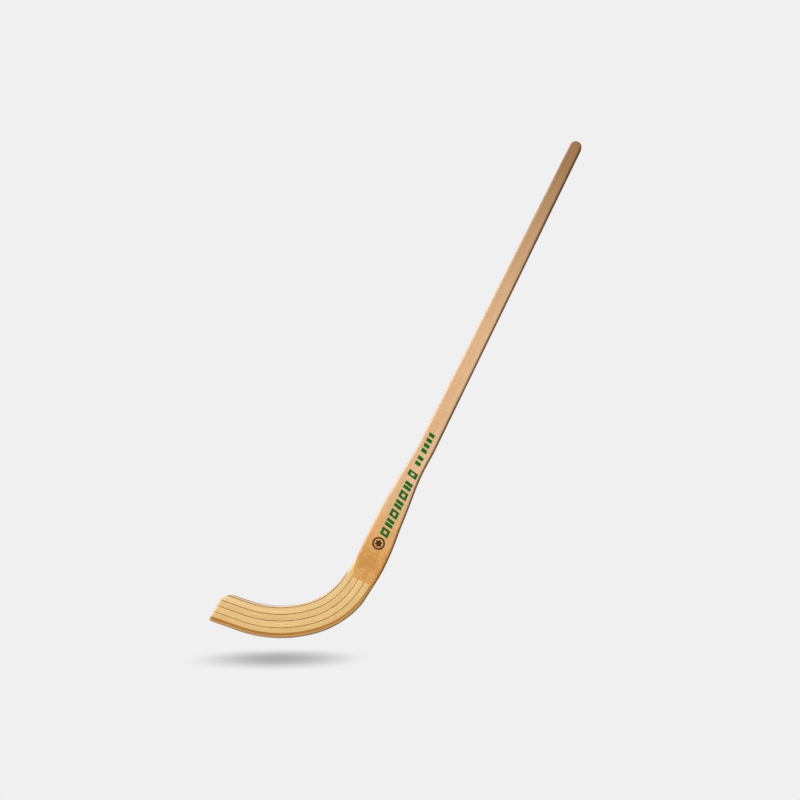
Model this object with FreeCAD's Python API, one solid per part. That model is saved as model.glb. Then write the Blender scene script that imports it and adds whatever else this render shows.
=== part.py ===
import FreeCAD, Part
import math
import os

# A laminated wooden bandy stick, upright, in the XZ plane and centred on Y = 0.
# The blade's sole touches the origin, the toe points along -X, the shaft rises along +X and +Z.
# Lengths are in millimetres and angles in degrees, measured from +X towards +Z.

# Blade, seen from the front
blade_width = 57.4            # across the laminations, from sole to inner edge
sole_radius = 246.2           # bend of the sole under the middle of the blade
heel_radius = 168.2           # tighter bend of the sole at the heel
toe_slope = -18.7             # slope of the straight stretch at the toe
heel_bend_slope = 16.2        # slope where the heel bend takes over
splice_slope = 61.5           # slope at which the laminations run into the shaft
outer_leave_slope = 48.0      # slope at which the outer edge leaves the heel bend
inner_leave_slope = 52.0      # slope at which the inner edge leaves it
toe_straight = 55.3           # straight stretch of the sole at the toe
toe_cut_slope = 60.0          # slope of the slanted toe end
toe_corner_radius = 25.0      # rounding of the toe's upper corner
toe_tip_radius = 3.5          # rounding of its corner on the sole

# Shaft, seen from the front: stations are (distance up the shaft, distance across from its axis)
shaft_slope = 63.4
shaft_axis_distance = 85.6    # from the origin to the shaft's axis
shaft_start = 431.0           # where the straight taper starts
shaft_end = 1042.4            # where the rounded butt starts
half_width_low = 15.3         # half width at shaft_start
half_width_top = 10.7         # half width at shaft_end
butt_bulge = 10.3             # height of the rounded butt
outer_flare = [
    (135.0, 21.9), (160.0, 24.8), (185.0, 27.0), (212.0, 27.1), (240.0, 25.6), (270.0, 22.5), (302.0, 19.9),
    (345.0, 15.8), (385.0, 13.8),
]
inner_flare = [
    (160.0, -29.6), (182.0, -26.6), (212.0, -26.0), (262.0, -26.0), (302.0, -25.2), (342.0, -22.6),
    (382.0, -19.3),
]

# Thickness, seen from above: stations are (X, half thickness), and the toe bends forwards
toe_x = -134.0
heel_x = 150.0
full_x = 300.0
far_x = 620.0
toe_half = 4.6
heel_half = 6.6
cheek_end_half = 7.3
shaft_half = 10.0
blade_bend = 4.5              # how far the toe stands forward of the shaft's middle plane
edge_rounding = 3.0           # rounding of every long edge

# Laminations, as distances from the sole towards the inner edge
first_layer_offset = 18.7     # middle of the first fibre layer
lamella_pitch = 11.87
layer_thickness = 1.3
strip_depth = [4.6, 5.2, 5.2, 5.2, 5.0, 4.2]      # wear strip, from toe to heel
inlay_depth = [9.0, 9.2, 9.2, 9.2, 8.4, 6.5]      # wear strip and dark inlay together
depth_lead = 6.0              # how far past the toe the first of these depths is

# Splice between blade and shaft
tenon_half = 4.0              # half thickness of the tenon and of the core stave
cheek_end = 159.0             # where the cheeks end, up the shaft
cheek_end_across = 24.8       # outer edge there
cheek_corner_across = -16.6   # where the end line turns up along the inner edge
cheek_tip = 190.0             # how far up it runs along that edge
cheek_tip_across = -25.0      # and how near to the edge it comes
facing_end = 151.0            # where the facing of the inner edge stops, up the shaft
band_end = 162.0              # where the dark layer inside it stops
splice_shoulder = 225.0       # open end of the core stave's notch
splice_tip = 300.0            # point of the tenon

# Printed marks on the front cheek
ink = 0.08
roundel_up = 232.8
roundel_across = -0.7
roundel_radius = 11.7
roundel_line = 3.2
star_tips = 6
star_inner = 4.8
star_outer = 8.0
mark_slant = 10.0
pair_gap = 1.5                # between the two blocks of a pair
hole_share = 0.36             # size of the hole in an open block, as a share of the block's
large_mark_start = 247.0
large_mark_across = 1.0
large_mark_count = 6
large_mark_pitch = 18.6
large_mark_length = 17.2
large_mark_height = 16.4
end_mark_start = 364.0
end_mark_across = -0.8
end_mark_length = 14.5
end_mark_height = 19.0
small_mark_start = 388.5
small_mark_across = -1.0
small_mark_count = 6
small_mark_pitch = 10.4
small_mark_length = 9.2
small_mark_height = 11.8
word_gap = 4.4                # extra space after the first small marks
first_word_count = 2

reach = 90.0                  # how far cutting shapes pass the stick's outline


def plane_point(x, z):
    return FreeCAD.Vector(x, 0, z)


def direction(slope):
    angle = math.radians(slope)
    return FreeCAD.Vector(math.cos(angle), 0, math.sin(angle))


def shaft_point(up, across):
    """Point up the shaft and across from its axis; positive across is the outer, sole side."""
    along = direction(shaft_slope)
    outward = direction(shaft_slope - 90)
    return along * up + outward * (shaft_axis_distance + across)


def heel_centre():
    radial = direction(heel_bend_slope + 90)
    return plane_point(0, sole_radius) - radial * (sole_radius - heel_radius)


def bend_point(slope, offset=0.0):
    """Point at a given slope on the line that runs `offset` inside the sole."""
    radial = direction(slope + 90)
    if slope <= heel_bend_slope:
        return plane_point(0, sole_radius) - radial * (sole_radius - offset)
    return heel_centre() - radial * (heel_radius - offset)


def toe_point(offset=0.0, beyond=0.0):
    """End of the straight toe stretch, on the line `offset` inside the sole."""
    return bend_point(toe_slope, offset) - direction(toe_slope) * (toe_straight + beyond)


def line(start, end):
    return Part.makeLine(start, end)


def arc(start, middle, end):
    return Part.Arc(start, middle, end).toShape()


def bend_arc(slope_start, slope_end, offset=0.0):
    middle = bend_point((slope_start + slope_end) / 2, offset)
    return arc(bend_point(slope_start, offset), middle, bend_point(slope_end, offset))


def curve(points, start_direction, end_direction):
    spline = Part.BSplineCurve()
    spline.interpolate(Points=points, InitialTangent=start_direction, FinalTangent=end_direction)
    return spline.toShape()


def flat_face(edges):
    return Part.Face(Part.Wire(Part.sortEdges(edges)[0]))


def prism(edges, half_depth=reach):
    """Solid of a closed outline in the XZ plane, extruded equally to both sides of Y = 0."""
    face = flat_face(edges)
    face.translate(FreeCAD.Vector(0, -half_depth, 0))
    return face.extrude(FreeCAD.Vector(0, 2 * half_depth, 0))


def polygon_prism(points, half_depth=reach):
    corners = points + [points[0]]
    return prism([line(a, b) for a, b in zip(corners, corners[1:])], half_depth)


def taper_slopes():
    """Slopes of the shaft's outer and inner edges, which close in towards the butt."""
    lean = math.degrees(math.atan((half_width_low - half_width_top) / (shaft_end - shaft_start)))
    return shaft_slope + lean, shaft_slope - lean


def shaft_edges():
    """Outer and inner edges of the shaft and its butt, as one open chain."""
    outer_slope, inner_slope = taper_slopes()
    outer_points = [bend_point(outer_leave_slope)]
    outer_points += [shaft_point(up, across) for up, across in outer_flare]
    outer_points.append(shaft_point(shaft_start, half_width_low))
    inner_points = [bend_point(inner_leave_slope, blade_width)]
    inner_points += [shaft_point(up, across) for up, across in inner_flare]
    inner_points.append(shaft_point(shaft_start, -half_width_low))
    outer_top = shaft_point(shaft_end, half_width_top)
    inner_top = shaft_point(shaft_end, -half_width_top)
    return [
        curve(outer_points, direction(outer_leave_slope), direction(outer_slope)),
        line(outer_points[-1], outer_top),
        arc(outer_top, shaft_point(shaft_end + butt_bulge, 0), inner_top),
        line(inner_points[-1], inner_top),
        curve(inner_points, direction(inner_leave_slope), direction(inner_slope)),
    ]


def rounded_corner(corner, arriving, leaving, radius):
    """Start, arc and end of the rounding of a corner, for a path that turns there."""
    half_turn = arriving.getAngle(leaving) / 2
    run = radius * math.tan(half_turn)
    start = corner - arriving * run
    end = corner + leaving * run
    inward = leaving - arriving
    inward.normalize()
    middle = corner + inward * (radius / math.cos(half_turn) - radius)
    return start, arc(start, middle, end), end


def toe_edges():
    """Straight stretch of the sole, slanted toe end with rounded corners, and straight inner edge."""
    along = direction(toe_slope)
    cut = direction(toe_cut_slope)
    tip = toe_point()
    inner_start = bend_point(toe_slope, blade_width)
    gap = inner_start - tip
    straight = (gap.x * cut.z - gap.z * cut.x) / (along.x * cut.z - along.z * cut.x)
    corner = inner_start - along * straight
    tip_start, tip_arc, tip_end = rounded_corner(tip, along * -1, cut, toe_tip_radius)
    corner_start, corner_arc, corner_end = rounded_corner(corner, cut, along, toe_corner_radius)
    return [
        line(bend_point(toe_slope), tip_start),
        tip_arc,
        line(tip_end, corner_start),
        corner_arc,
        line(corner_end, inner_start),
    ]


def stick_outline():
    edges = [
        bend_arc(toe_slope, heel_bend_slope),
        bend_arc(heel_bend_slope, outer_leave_slope),
    ]
    edges += shaft_edges()
    edges += [
        bend_arc(heel_bend_slope, inner_leave_slope, blade_width),
        bend_arc(toe_slope, heel_bend_slope, blade_width),
    ]
    return edges + toe_edges()


def thickness_slab(grow=0.0):
    """Everything between the stick's front and back faces, each moved outwards by `grow`."""
    stations = [(toe_x, toe_half), (heel_x, heel_half), (heel_x + 40, cheek_end_half), (full_x, shaft_half)]

    def face_curve(side):
        points = []
        for x, half in stations:
            bend = blade_bend * (max(0.0, heel_x - x) / (heel_x - toe_x)) ** 2
            points.append(FreeCAD.Vector(x, side * (half + grow) - bend, -reach))
        middle_x = (toe_x + heel_x) / 2
        middle_half = (toe_half + heel_half) / 2
        middle_bend = blade_bend / 4
        points.insert(1, FreeCAD.Vector(middle_x, side * (middle_half + grow) - middle_bend, -reach))
        rise = (heel_half - toe_half) / (heel_x - toe_x) * side + 2 * blade_bend / (heel_x - toe_x)
        return curve(points, FreeCAD.Vector(1, rise, 0), FreeCAD.Vector(1, 0, 0))

    front = face_curve(-1)
    back = face_curve(1)
    front_end = FreeCAD.Vector(far_x, -shaft_half - grow, -reach)
    back_end = FreeCAD.Vector(far_x, shaft_half + grow, -reach)
    edges = [
        front,
        line(front.Vertexes[-1].Point, front_end),
        line(front_end, back_end),
        line(back.Vertexes[-1].Point, back_end),
        back,
        line(front.Vertexes[0].Point, back.Vertexes[0].Point),
    ]
    return flat_face(edges).extrude(FreeCAD.Vector(0, 0, 1200))


def long_edges(solid):
    """Edges where the front or back face meets the outline."""
    found = []
    for edge in solid.Edges:
        middle = edge.valueAt((edge.FirstParameter + edge.LastParameter) / 2)
        tangent = edge.tangentAt((edge.FirstParameter + edge.LastParameter) / 2)
        if abs(tangent.y) < 0.5 and abs(middle.y) > 1:
            found.append(edge)
    return found


def stick_body():
    """The finished outer shape of the whole stick, which every piece is cut from."""
    body = prism(stick_outline()).common(thickness_slab())
    return body.makeFillet(edge_rounding, long_edges(body))


def lamination(low, high):
    """Bent layer between two distances from the sole, run well past the toe and up the shaft."""
    edges = []
    ends = []
    for offset in (low, high):
        toe = toe_point(offset, reach)
        splice = bend_point(splice_slope, offset)
        top = splice + direction(splice_slope) * 4 * reach
        edges += [
            line(toe, bend_point(toe_slope, offset)),
            bend_arc(toe_slope, heel_bend_slope, offset),
            bend_arc(heel_bend_slope, splice_slope, offset),
            line(splice, top),
        ]
        ends.append((toe, top))
    edges.append(line(ends[0][0], ends[1][0]))
    edges.append(line(ends[0][1], ends[1][1]))
    return prism(edges)


def sole_layer(depths):
    """Everything below a curve that runs from toe to heel at the given depths inside the sole."""
    toe = toe_point(depths[0], depth_lead)
    toe_bend = bend_point(toe_slope, depths[1])
    middle = bend_point((toe_slope + heel_bend_slope) / 2, depths[2])
    heel_bend = bend_point(heel_bend_slope, depths[3])
    heel = bend_point((heel_bend_slope + outer_leave_slope) / 2, depths[4])
    last = shaft_point(cheek_end, cheek_end_across - depths[5])
    points = [toe, toe_bend, middle, heel_bend, heel, last]
    heel_side = shaft_point(cheek_end, reach)
    below_heel = plane_point(heel_side.x, -reach)
    below_toe = plane_point(toe.x, -reach)
    edges = [
        curve(points, direction(toe_slope), direction(splice_slope)),
        line(last, heel_side),
        line(heel_side, below_heel),
        line(below_heel, below_toe),
        line(below_toe, toe),
    ]
    return prism(edges)


def cheek_side():
    """Everything on the shaft's side of the line where the cheeks end."""
    return polygon_prism([
        shaft_point(cheek_end, reach),
        shaft_point(cheek_end, cheek_corner_across),
        shaft_point(cheek_tip, cheek_tip_across),
        shaft_point(cheek_tip, -reach),
        shaft_point(shaft_end + reach, -reach),
        shaft_point(shaft_end + reach, reach),
    ])


def shaft_above(up):
    """Everything further up the shaft than the given distance."""
    return polygon_prism([
        shaft_point(up, reach),
        shaft_point(up, -reach),
        shaft_point(shaft_end + reach, -reach),
        shaft_point(shaft_end + reach, reach),
    ])


def core_side():
    """Everything above the V-shaped splice."""
    return polygon_prism([
        shaft_point(splice_shoulder, reach),
        shaft_point(splice_tip, 0),
        shaft_point(splice_shoulder, -reach),
        shaft_point(shaft_end + reach, -reach),
        shaft_point(shaft_end + reach, reach),
    ])


def y_layer(low, high):
    size = 2000
    corner = FreeCAD.Vector(-size / 2, low, -size / 2)
    return Part.makeBox(size, high - low, size, corner)


def export(shape, node):
    solids = shape.Solids
    result = solids[0] if len(solids) == 1 else Part.makeCompound(solids)
    result.exportStep("parts/" + node + ".step")
    print(node, len(solids), "solid(s)", round(result.Volume), "mm3", result.isValid())


def mark_prism(points_up_across):
    return polygon_prism([shaft_point(up, across) for up, across in points_up_across], reach)


def mark_lean(height):
    return height * math.tan(math.radians(mark_slant))


def slanted_block(up, across, length, height):
    """Four-sided mark that leans; its length counts the lean."""
    lean = mark_lean(height)
    return mark_prism([
        (up - length / 2, across + height / 2),
        (up + length / 2 - lean, across + height / 2),
        (up + length / 2, across - height / 2),
        (up - length / 2 + lean, across - height / 2),
    ])


def open_block(up, across, length, height):
    hole = slanted_block(up, across, length * hole_share, height * hole_share)
    return [slanted_block(up, across, length, height).cut(hole)]


def block_pair(up, across, length, height):
    width = (length + mark_lean(height) - pair_gap) / 2
    apart = (length - width) / 2
    return [slanted_block(up + side * apart, across, width, height) for side in (-1, 1)]


def large_marks():
    shapes = []
    for index in range(large_mark_count):
        up = large_mark_start + large_mark_length / 2 + index * large_mark_pitch
        maker = open_block if index % 2 == 0 else block_pair
        shapes += maker(up, large_mark_across, large_mark_length, large_mark_height)
    end_up = end_mark_start + end_mark_length / 2
    return shapes + open_block(end_up, end_mark_across, end_mark_length, end_mark_height)


def small_marks():
    shapes = []
    for index in range(small_mark_count):
        up = small_mark_start + small_mark_length / 2 + index * small_mark_pitch
        if index >= first_word_count:
            up += word_gap
        shapes.append(slanted_block(up, small_mark_across, small_mark_length, small_mark_height))
    return shapes


def roundel():
    """A plain ring round a star."""
    centre = shaft_point(roundel_up, roundel_across)
    axis = FreeCAD.Vector(0, 1, 0)
    start = centre - axis * reach
    outer = Part.makeCylinder(roundel_radius, 2 * reach, start, axis)
    inner = Part.makeCylinder(roundel_radius - roundel_line, 2 * reach, start, axis)
    corners = []
    for index in range(2 * star_tips):
        radius = star_outer if index % 2 == 0 else star_inner
        corners.append(centre + direction(shaft_slope + index * 180 / star_tips) * radius)
    return [outer.cut(inner), polygon_prism(corners)]


def ink_on_front(shapes):
    """Thin film on the front face, in the outline of the given prisms."""
    film = thickness_slab(ink).cut(thickness_slab())
    front_film = film.common(y_layer(-reach, 0))
    return Part.makeCompound([shape.common(front_film) for shape in shapes])


def make_shaft(body):
    shaft = body.common(cheek_side())
    export(shaft.common(y_layer(-reach, -tenon_half)), "shaft_cheek_front")
    export(shaft.common(y_layer(tenon_half, reach)), "shaft_cheek_back")
    export(body.common(core_side()).common(y_layer(-tenon_half, tenon_half)), "shaft_core_stave")


def make_blade(body):
    cheeks = cheek_side().cut(y_layer(-tenon_half, tenon_half))
    blade = body.cut(cheeks).cut(core_side())
    strip = sole_layer(strip_depth)
    sole = sole_layer(inlay_depth)
    export(blade.common(strip), "sole_wear_strip")
    export(blade.common(sole).cut(strip), "dark_inlay")

    edge_layer_middle = first_layer_offset + 3 * lamella_pitch
    band_low = edge_layer_middle - layer_thickness / 2
    band_high = edge_layer_middle + layer_thickness / 2
    edge_layers = blade.common(lamination(band_low, blade_width + reach)).cut(shaft_above(band_end))
    facing = edge_layers.common(lamination(band_high, blade_width + reach)).cut(shaft_above(facing_end))
    export(edge_layers.cut(facing), "inner_edge_band")
    export(facing, "inner_edge_facing")

    low = -reach
    for index in range(4):
        layer_middle = first_layer_offset + index * lamella_pitch
        high = layer_middle - layer_thickness / 2
        if index == 3:
            lamella = blade.common(lamination(low, blade_width + reach)).cut(edge_layers)
        else:
            lamella = blade.common(lamination(low, high)).cut(sole)
            export(blade.common(lamination(high, high + layer_thickness)), "fibre_layer_" + str(3 - index))
        export(lamella, "blade_lamella_" + str(4 - index))
        low = high + layer_thickness


def make_prints():
    export(ink_on_front(large_marks()), "print_large_marks")
    export(ink_on_front(small_marks()), "print_small_marks")
    export(ink_on_front(roundel()), "print_roundel")


def main():
    os.makedirs("parts", exist_ok=True)
    body = stick_body()
    box = body.BoundBox
    print("body", body.isValid(), round(body.Volume), box)
    make_shaft(body)
    make_blade(body)
    make_prints()


main()
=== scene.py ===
import math
import bpy
import numpy as np
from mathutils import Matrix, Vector, noise


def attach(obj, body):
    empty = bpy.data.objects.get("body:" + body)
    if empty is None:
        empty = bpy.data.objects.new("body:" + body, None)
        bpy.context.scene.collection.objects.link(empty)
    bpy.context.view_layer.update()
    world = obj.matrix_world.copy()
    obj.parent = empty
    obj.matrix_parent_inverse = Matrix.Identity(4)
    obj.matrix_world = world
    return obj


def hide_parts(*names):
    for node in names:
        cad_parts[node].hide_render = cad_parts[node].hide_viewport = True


# A laminated wooden bandy stick. Lengths are in metres and slopes in radians, in the CAD frame:
# the sole touches the origin, the toe points along -X, the shaft rises along +X and +Z.
# "Along" is a distance along the sole from the toe, and "inside" one from the sole inwards.
# "Up" is a distance from the origin in the shaft's direction, and "across" one from the shaft's
# axis towards its outer edge.

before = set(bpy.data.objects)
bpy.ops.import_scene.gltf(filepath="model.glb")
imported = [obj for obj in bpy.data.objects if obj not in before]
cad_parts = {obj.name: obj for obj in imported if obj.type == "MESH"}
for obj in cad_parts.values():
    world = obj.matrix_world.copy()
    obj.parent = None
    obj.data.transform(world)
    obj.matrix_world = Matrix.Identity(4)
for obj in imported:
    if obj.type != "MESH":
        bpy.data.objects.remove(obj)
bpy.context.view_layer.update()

# Blade, as laid out in the CAD model
BLADE_WIDTH = 0.0574
SOLE_RADIUS = 0.2462
HEEL_RADIUS = 0.1682
TOE_SLOPE = math.radians(-18.7)
HEEL_BEND_SLOPE = math.radians(16.2)
SPLICE_SLOPE = math.radians(61.5)
OUTER_LEAVE_SLOPE = math.radians(48.0)
INNER_LEAVE_SLOPE = math.radians(52.0)
TOE_STRAIGHT = 0.0553
TOE_CUT_SLOPE = math.radians(60.0)
TOE_CORNER_RADIUS = 0.025
TOE_TIP_RADIUS = 0.0035

# Shaft: stations are (up, across)
SHAFT_SLOPE = math.radians(63.4)
SHAFT_AXIS_DISTANCE = 0.0856
SHAFT_START = 0.431
SHAFT_END = 1.0424
HALF_WIDTH_LOW = 0.0153
HALF_WIDTH_TOP = 0.0107
BUTT_BULGE = 0.0103
OUTER_FLARE = [
    (0.135, 0.0219), (0.160, 0.0248), (0.185, 0.0270), (0.212, 0.0271), (0.240, 0.0256),
    (0.270, 0.0225), (0.302, 0.0199), (0.345, 0.0158), (0.385, 0.0138),
]
INNER_FLARE = [
    (0.160, -0.0296), (0.182, -0.0266), (0.212, -0.0260), (0.262, -0.0260), (0.302, -0.0252),
    (0.342, -0.0226), (0.382, -0.0193),
]

# Thickness: half thickness at stations along X, with the toe bent forwards
TOE_X = -0.134
HEEL_X = 0.150
CHEEK_X = 0.190
FULL_X = 0.300
TOE_HALF = 0.0046
HEEL_HALF = 0.0066
CHEEK_END_HALF = 0.0073
SHAFT_HALF = 0.010
BLADE_BEND = 0.0045
EDGE_ROUNDING = 0.003
ROUNDING_WANDER = 0.22
WANDER_PITCH = 14.0
WANDER_PLACE = (3.7, 0.4)

# Laminations, as distances inside the sole
FIRST_LAYER = 0.0187
LAMELLA_PITCH = 0.01187
LAYER_THICKNESS = 0.0013
STRIP_DEPTH = [0.0046, 0.0052, 0.0052, 0.0052, 0.0050, 0.0042]
INLAY_DEPTH = [0.0090, 0.0092, 0.0092, 0.0092, 0.0084, 0.0065]
DEPTH_LEAD = 0.006
THINNEST_END = 0.0002
LAMELLA_COUNT = 4

# Splice
TENON_HALF = 0.004
CHEEK_END = 0.159
CHEEK_END_ACROSS = 0.0248
CHEEK_CORNER_ACROSS = -0.0166
CHEEK_TIP = 0.190
CHEEK_TIP_ACROSS = -0.025
SPLICE_SHOULDER = 0.225
SPLICE_TIP = 0.300
SPLICE_REACH = 0.090

# Printed marks
INK_HEIGHT = 0.00005
RIM_WIDTH = 0.0007
ROUNDEL_UP = 0.2328
ROUNDEL_ACROSS = -0.0007
ROUNDEL_RADIUS = 0.0117
ROUNDEL_LINE = 0.0032
RING_RIM_POWER = 4
STAR_TIPS = 6
STAR_INNER = 0.0048
STAR_OUTER = 0.008
MARK_SLANT = math.radians(10.0)
PAIR_GAP = 0.0015
HOLE_SHARE = 0.36
LARGE_START = 0.247
LARGE_ACROSS = 0.001
LARGE_COUNT = 6
LARGE_PITCH = 0.0186
LARGE_LENGTH = 0.0172
LARGE_HEIGHT = 0.0164
END_MARK_START = 0.364
END_MARK_ACROSS = -0.0008
END_MARK_LENGTH = 0.0145
END_MARK_HEIGHT = 0.019
SMALL_START = 0.3885
SMALL_ACROSS = -0.001
SMALL_COUNT = 6
SMALL_PITCH = 0.0104
SMALL_LENGTH = 0.0092
SMALL_HEIGHT = 0.0118
WORD_GAP = 0.0044
FIRST_WORD_COUNT = 2

# Cut edges at the toe, which the materials darken, and the shaft's outer edge, which they darken with
# painted shade
END_GRAIN_REACH = 0.003
OUTER_EDGE_SHADE_REACH = 0.0045

# Mesh rows that follow a rounded end, as distances from it
EDGE_ROWS = np.array([0.0, 0.00012, 0.00045, 0.0010, 0.0018, 0.0030])

# Mesh lines along a layer, as shares of its width from its outer side
SOLE_SHARES = np.array([0.0, 0.03, 0.1, 0.22, 0.38, 0.6, 0.8, 1.0])
FACING_SHARES = 1 - SOLE_SHARES[::-1]
EVEN_SHARES = np.linspace(0, 1, 7)
INNER_SHARES = np.array([0.0, 0.2, 0.4, 0.58, 0.7, 0.82, 0.9, 0.955, 0.988, 1.0])
THIN_SHARES = np.array([0.0, 0.5, 1.0])

# Mesh rows and columns, and how far up the shaft each kind of row runs
BLADE_ROWS = 130
TENON_ROWS = 24
SHAFT_COLUMNS = 16
FLARE_ROWS = 44
FLARE_ROWS_END = 0.330
SHAFT_ROWS = 90
SHAFT_ROWS_END = SHAFT_END - 0.02
BUTT_ROWS = 12
PATCH_STEPS = 10
STAR_STEPS = 6
RING_STEPS = 6
QUARTER_STEPS = 17
SHARP_ANGLE = math.radians(32)

# Searches: rounds that each takes, where two of them start, and the share of a gap closed at once
OUTLINE_ROUNDS = 5
TOE_ROUNDS = 6
ROW_ROUNDS = 30
LOW_END_ROUNDS = 12
BEFORE_CHEEKS = 0.03
TENON_GUESS = 0.1
ROW_STEP = 0.6

# Places along the sole at which the closing inner edge is looked up
LOOKUP_PLACES = 400
LOOKUP_PAST_HEEL = 0.02


# ---- the stick's layout in its own plane

def smooth_through(stations, values, x, start_slope, end_slope):
    """Cubic spline through the stations with the given slopes at its ends."""
    stations = np.asarray(stations, float)
    values = np.asarray(values, float)
    gaps = np.diff(stations)
    count = len(stations)
    matrix = np.eye(count)
    right = np.zeros(count)
    right[0] = start_slope
    right[-1] = end_slope
    for i in range(1, count - 1):
        before = 1 / gaps[i - 1]
        after = 1 / gaps[i]
        matrix[i, i - 1:i + 2] = before, 2 * (before + after), after
        rise_before = (values[i] - values[i - 1]) * before ** 2
        rise_after = (values[i + 1] - values[i]) * after ** 2
        right[i] = 3 * (rise_before + rise_after)
    slopes = np.linalg.solve(matrix, right)
    x = np.asarray(x, float)
    i = np.clip(np.searchsorted(stations, x) - 1, 0, count - 2)
    t = np.clip((x - stations[i]) / gaps[i], 0, 1)
    start = values[i] * (1 + 2 * t) * (1 - t) ** 2 + slopes[i] * gaps[i] * t * (1 - t) ** 2
    end = values[i + 1] * t ** 2 * (3 - 2 * t) + slopes[i + 1] * gaps[i] * t ** 2 * (t - 1)
    return start + end


MIDDLE_LENGTH = SOLE_RADIUS * (HEEL_BEND_SLOPE - TOE_SLOPE)
HEEL_LENGTH = HEEL_RADIUS * (SPLICE_SLOPE - HEEL_BEND_SLOPE)
HEEL_START = TOE_STRAIGHT + MIDDLE_LENGTH
HEEL_END = HEEL_START + HEEL_LENGTH
TOE_TILT = TOE_CUT_SLOPE - TOE_SLOPE


def blade_point(along, inside):
    """X and Z of the point `along` the sole from the toe and `inside` it."""
    straight = np.minimum(along, TOE_STRAIGHT)
    middle = np.clip(along - TOE_STRAIGHT, 0, MIDDLE_LENGTH) / SOLE_RADIUS
    heel = np.clip(along - HEEL_START, 0, HEEL_LENGTH) / HEEL_RADIUS
    splice = np.maximum(along - HEEL_END, 0)
    first = TOE_SLOPE + middle
    second = HEEL_BEND_SLOPE + heel
    x = straight * math.cos(TOE_SLOPE) + SOLE_RADIUS * (np.sin(first) - math.sin(TOE_SLOPE))
    z = straight * math.sin(TOE_SLOPE) + SOLE_RADIUS * (math.cos(TOE_SLOPE) - np.cos(first))
    x = x + HEEL_RADIUS * (np.sin(second) - math.sin(HEEL_BEND_SLOPE)) + splice * math.cos(SPLICE_SLOPE)
    z = z + HEEL_RADIUS * (math.cos(HEEL_BEND_SLOPE) - np.cos(second)) + splice * math.sin(SPLICE_SLOPE)
    x = x - TOE_STRAIGHT * math.cos(TOE_SLOPE) + SOLE_RADIUS * math.sin(TOE_SLOPE)
    z = z - TOE_STRAIGHT * math.sin(TOE_SLOPE) - SOLE_RADIUS * (math.cos(TOE_SLOPE) - 1)
    slope = TOE_SLOPE + middle + heel
    return x - inside * np.sin(slope), z + inside * np.cos(slope)


def shaft_point(up, across):
    """X and Z of a point given as up and across."""
    out = SHAFT_AXIS_DISTANCE + across
    x = up * math.cos(SHAFT_SLOPE) + out * math.sin(SHAFT_SLOPE)
    z = up * math.sin(SHAFT_SLOPE) - out * math.cos(SHAFT_SLOPE)
    return x, z


def shaft_coordinates(x, z):
    """Up and across of a point given as X and Z."""
    up = x * math.cos(SHAFT_SLOPE) + z * math.sin(SHAFT_SLOPE)
    across = x * math.sin(SHAFT_SLOPE) - z * math.cos(SHAFT_SLOPE) - SHAFT_AXIS_DISTANCE
    return up, across


def heel_along(slope):
    """How far along the sole the heel bend reaches a slope."""
    return HEEL_START + HEEL_RADIUS * (slope - HEEL_BEND_SLOPE)


def heel_coordinates(x, z):
    """Distances along and inside the sole of a point in the heel bend."""
    centre_x, centre_z = blade_point(HEEL_START, HEEL_RADIUS)
    slope = math.atan2(x - centre_x, centre_z - z)
    return heel_along(slope), HEEL_RADIUS - math.hypot(x - centre_x, z - centre_z)


TAPER = (HALF_WIDTH_TOP - HALF_WIDTH_LOW) / (SHAFT_END - SHAFT_START)
OUTER_UP, OUTER_ACROSS = shaft_coordinates(*blade_point(heel_along(OUTER_LEAVE_SLOPE), 0.0))
INNER_UP, INNER_ACROSS = shaft_coordinates(*blade_point(heel_along(INNER_LEAVE_SLOPE), BLADE_WIDTH))


def half_width(up):
    return HALF_WIDTH_LOW + TAPER * (np.minimum(up, SHAFT_END) - SHAFT_START)


def outer_edge(up):
    """How far across the shaft's outer edge is."""
    stations = [(OUTER_UP, OUTER_ACROSS)] + OUTER_FLARE + [(SHAFT_START, HALF_WIDTH_LOW)]
    ups, acrosses = zip(*stations)
    flare = smooth_through(ups, acrosses, up, math.tan(SHAFT_SLOPE - OUTER_LEAVE_SLOPE), TAPER)
    return np.where(up < SHAFT_START, flare, half_width(up))


def inner_edge(up):
    """How far across the shaft's inner edge is."""
    stations = [(INNER_UP, INNER_ACROSS)] + INNER_FLARE + [(SHAFT_START, -HALF_WIDTH_LOW)]
    ups, acrosses = zip(*stations)
    flare = smooth_through(ups, acrosses, up, math.tan(SHAFT_SLOPE - INNER_LEAVE_SLOPE), -TAPER)
    return np.where(up < SHAFT_START, flare, -half_width(up))


def face_y(x, side):
    """Y of the front (side -1) or back (side 1) face."""
    middle_x = (TOE_X + HEEL_X) / 2
    stations = [TOE_X, middle_x, HEEL_X, CHEEK_X, FULL_X]
    halves = np.array([TOE_HALF, (TOE_HALF + HEEL_HALF) / 2, HEEL_HALF, CHEEK_END_HALF, SHAFT_HALF])
    bends = np.array([BLADE_BEND, BLADE_BEND / 4, 0, 0, 0])
    rise = ((HEEL_HALF - TOE_HALF) * side + 2 * BLADE_BEND) / (HEEL_X - TOE_X)
    return smooth_through(stations, side * halves - bends, x, rise, 0.0)


def cheek_low_end(across):
    """How far up the shaft the cheeks begin, at a distance across it."""
    rise = (CHEEK_TIP - CHEEK_END) / (CHEEK_CORNER_ACROSS - CHEEK_TIP_ACROSS)
    return CHEEK_END + rise * np.maximum(0, CHEEK_CORNER_ACROSS - across)


def splice_end(across):
    """How far up the shaft the blade's tenon reaches."""
    return SPLICE_TIP - (SPLICE_TIP - SPLICE_SHOULDER) * np.abs(across) / SPLICE_REACH


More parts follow.
